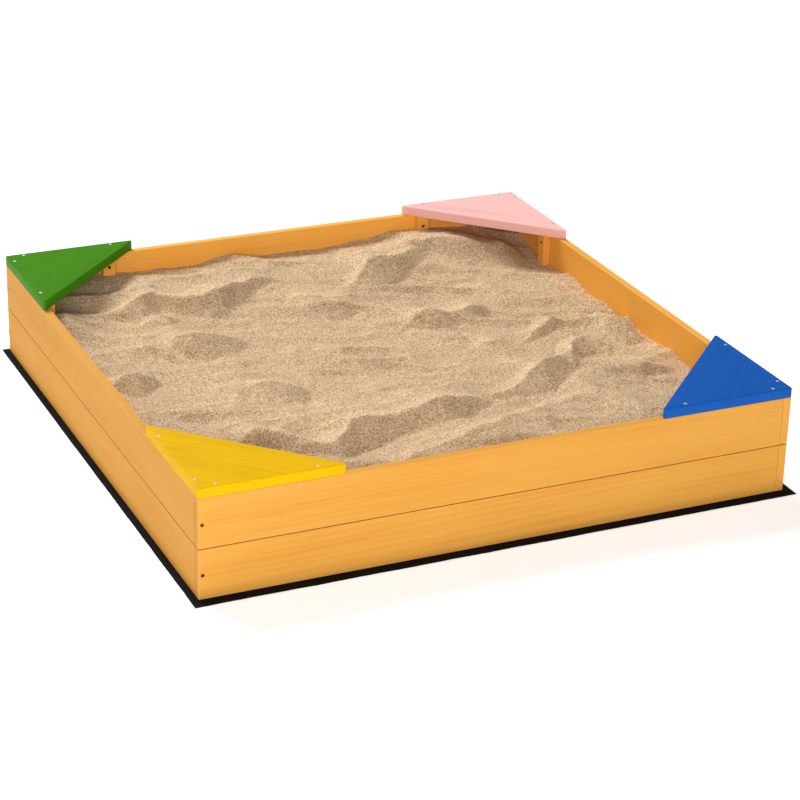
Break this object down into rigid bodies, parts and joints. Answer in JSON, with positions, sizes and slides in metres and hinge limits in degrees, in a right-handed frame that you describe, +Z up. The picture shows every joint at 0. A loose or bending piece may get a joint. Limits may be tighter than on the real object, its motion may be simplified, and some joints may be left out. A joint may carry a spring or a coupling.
{
  "type": "square timber sandpit with corner seats",
  "caption": "Square two-board-high timber sandpit with painted triangular corner seats, inner battens, a black ground sheet and a filling of rippled play sand.",
  "frame": {"origin": "on the ground under the ground sheet, at the middle of the timber frame", "axes": "+Z up; +X east, along the south side from the yellow seat to the blue seat; +Y north, from the yellow seat to the green seat"},
  "size_m": [1.226, 1.226, 0.2178],
  "materials": {
    "stained_timber": "honey stain, satin",
    "yellow_paint": "painted, satin",
    "blue_paint": "painted, satin",
    "pink_paint": "painted, satin",
    "green_paint": "painted, satin",
    "plated_screw": "zinc plated",
    "dark_screw": "dark oxidised",
    "black_ground_cloth": "matt woven cloth",
    "play_sand": "fine dry sand"
  },
  "bodies": {
    "root": {"blue_corner_seat": "blue_paint", "blue_seat_east_far_screw": "plated_screw", "blue_seat_east_near_screw": "plated_screw", "blue_seat_south_far_screw": "plated_screw", "blue_seat_south_near_screw": "plated_screw", "east_lower_board": "stained_timber", "east_lower_corner_screw": "dark_screw", "east_upper_board": "stained_timber", "east_upper_corner_screw": "dark_screw", "east_wall_north_batten": "stained_timber", "east_wall_north_batten_screw": "dark_screw", "east_wall_south_batten": "stained_timber", "east_wall_south_batten_screw": "dark_screw", "green_corner_seat": "green_paint", "green_seat_north_far_screw": "plated_screw", "green_seat_north_near_screw": "plated_screw", "green_seat_west_far_screw": "plated_screw", "green_seat_west_near_screw": "plated_screw", "ground_cover_sheet": "black_ground_cloth", "north_lower_board": "stained_timber", "north_lower_corner_screw": "dark_screw", "north_upper_board": "stained_timber", "north_upper_corner_screw": "dark_screw", "north_wall_east_batten": "stained_timber", "north_wall_east_batten_screw": "dark_screw", "north_wall_west_batten": "stained_timber", "north_wall_west_batten_screw": "dark_screw", "pink_corner_seat": "pink_paint", "pink_seat_east_far_screw": "plated_screw", "pink_seat_east_near_screw": "plated_screw", "pink_seat_north_far_screw": "plated_screw", "pink_seat_north_near_screw": "plated_screw", "sand_fill": "play_sand", "south_lower_board": "stained_timber", "south_lower_corner_screw": "dark_screw", "south_upper_board": "stained_timber", "south_upper_corner_screw": "dark_screw", "south_wall_east_batten": "stained_timber", "south_wall_east_batten_screw": "dark_screw", "south_wall_west_batten": "stained_timber", "south_wall_west_batten_screw": "dark_screw", "west_lower_board": "stained_timber", "west_lower_corner_screw": "dark_screw", "west_upper_board": "stained_timber", "west_upper_corner_screw": "dark_screw", "west_wall_north_batten": "stained_timber", "west_wall_north_batten_screw": "dark_screw", "west_wall_south_batten": "stained_timber", "west_wall_south_batten_screw": "dark_screw", "yellow_corner_seat": "yellow_paint", "yellow_seat_south_far_screw": "plated_screw", "yellow_seat_south_near_screw": "plated_screw", "yellow_seat_west_far_screw": "plated_screw", "yellow_seat_west_near_screw": "plated_screw"}
  },
  "joints": []
}
